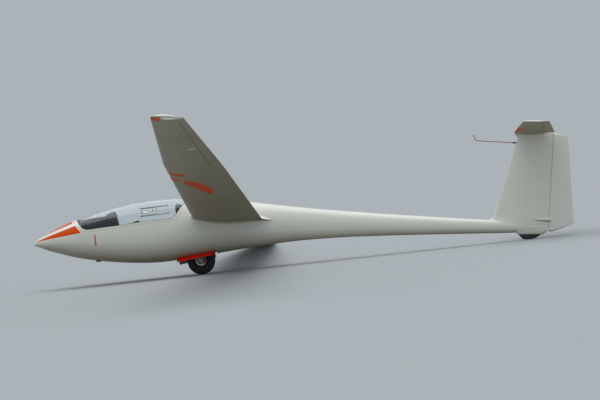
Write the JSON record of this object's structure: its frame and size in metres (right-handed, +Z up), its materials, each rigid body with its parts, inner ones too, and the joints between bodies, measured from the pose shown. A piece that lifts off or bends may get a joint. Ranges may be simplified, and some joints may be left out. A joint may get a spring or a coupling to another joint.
{
  "type": "single-seat sailplane",
  "caption": "Single-seat glider with long tapered wings, T-tail, hinged canopy and one main wheel, parked leaning on its right wing tip.",
  "frame": {"origin": "on the floor under the middle of the parked aircraft's box", "axes": "+X aft along the fuselage, +Y towards the right wing, +Z up; the aircraft leans on its right wing tip and sits nose up on its tail skid"},
  "size_m": [6.8684, 14.8654, 2.0766],
  "materials": {
    "gelcoat": "gloss",
    "perspex": "clear",
    "black_trim": "matt",
    "seat_shell": "satin",
    "seat_cloth": "woven",
    "black_cloth": "woven",
    "rubber": "matt",
    "tyre": "matt",
    "steel": "satin",
    "alloy": "satin",
    "brake_paint": "satin",
    "probe_paint": "satin",
    "red_paint": "gloss"
  },
  "bodies": {
    "airframe": {"cockpit_shell": "gelcoat", "centre_fuselage": "gelcoat", "tail_boom": "gelcoat", "fin": "gelcoat", "rudder_fairing_left": "gelcoat", "rudder_fairing_right": "gelcoat", "tailplane": "gelcoat", "energy_probe": "probe_paint", "tail_skid": "rubber", "wing_left": "gelcoat", "wing_right": "gelcoat", "tip_skid_left": "gelcoat", "tip_skid_right": "gelcoat", "rod_fairing_left": "gelcoat", "rod_fairing_right": "gelcoat", "seat_pan": "seat_shell", "seat_cushion": "seat_cloth", "headrest": "black_cloth", "control_stick": "black_trim", "airbrake_lever": "black_trim", "trim_lever": "black_trim", "gear_lever": "black_trim", "rudder_pedals": "alloy", "tow_hook": "steel", "gear_fork": "steel", "axle": "steel", "brake_caliper": "brake_paint"},
    "canopy": {"canopy_frame": "gelcoat", "canopy_glass": "perspex", "sliding_window": "perspex", "instrument_cover": "black_trim", "instrument_panel": "black_trim"},
    "rudder": {"rudder": "gelcoat"},
    "elevator": {"elevator": "gelcoat"},
    "aileron_left": {"aileron_left": "gelcoat"},
    "aileron_right": {"aileron_right": "gelcoat"},
    "airbrake_left": {"airbrake_left": "gelcoat"},
    "airbrake_right": {"airbrake_right": "gelcoat"},
    "wheel": {"wheel_rim": "alloy", "tyre": "tyre"},
    "gear_door_left": {"gear_door_left": "red_paint"},
    "gear_door_right": {"gear_door_right": "red_paint"}
  },
  "joints": [
    {"name": "wheel_spin", "type": "hinge", "parent": "airframe", "child": "wheel", "pos_m": [-1.33699, -0.12236, 0.17695], "axis": [-0.0141, 0.9909, -0.1342], "continuous": true},
    {"name": "canopy_hinge", "type": "hinge", "parent": "airframe", "child": "canopy", "pos_m": [-2.92566, -0.053, 0.85617], "axis": [0.0141, -0.9909, 0.1342], "range_deg": [0, 65]},
    {"name": "rudder_hinge", "type": "hinge", "parent": "airframe", "child": "rudder", "pos_m": [3.07069, -0.07445, 0.06703], "axis": [0.1557, 0.1347, 0.9786], "range_deg": [-30, 30]},
    {"name": "elevator_hinge", "type": "hinge", "parent": "airframe", "child": "elevator", "pos_m": [3.13257, 0.09543, 1.31489], "axis": [-0.0141, 0.9909, -0.1342], "range_deg": [-25, 20]},
    {"name": "aileron_right_hinge", "type": "hinge", "parent": "airframe", "child": "aileron_right", "pos_m": [-0.83317, 4.30525, 0.2664], "axis": [-0.0472, 0.9959, -0.0777], "range_deg": [-20, 20]},
    {"name": "aileron_left_hinge", "type": "hinge", "parent": "airframe", "child": "aileron_left", "pos_m": [-0.70986, -4.35085, 1.43873], "axis": [-0.019, -0.9816, 0.1901], "range_deg": [-20, 20]},
    {"name": "airbrake_right_slide", "type": "slide", "parent": "airframe", "child": "airbrake_right", "axis": [0.1037, 0.1349, 0.9854], "range_m": [0, 0.075]},
    {"name": "airbrake_left_slide", "type": "slide", "parent": "airframe", "child": "airbrake_left", "axis": [0.1037, 0.1349, 0.9854], "range_m": [0, 0.075]},
    {"name": "gear_door_left_hinge", "type": "hinge", "parent": "airframe", "child": "gear_door_left", "pos_m": [-1.6329, -0.22385, 0.24112], "axis": [0.9964, 0.0251, 0.0804], "range_deg": [0, 35]},
    {"name": "gear_door_right_hinge", "type": "hinge", "parent": "airframe", "child": "gear_door_right", "pos_m": [-1.63587, -0.01577, 0.21294], "axis": [-0.9964, -0.0251, -0.0804], "range_deg": [0, 35]}
  ],
  "couplings": [
    {"joint": "aileron_left_hinge", "follows": "aileron_right_hinge", "ratio": 1},
    {"joint": "airbrake_left_slide", "follows": "airbrake_right_slide", "ratio": 1}
  ]
}
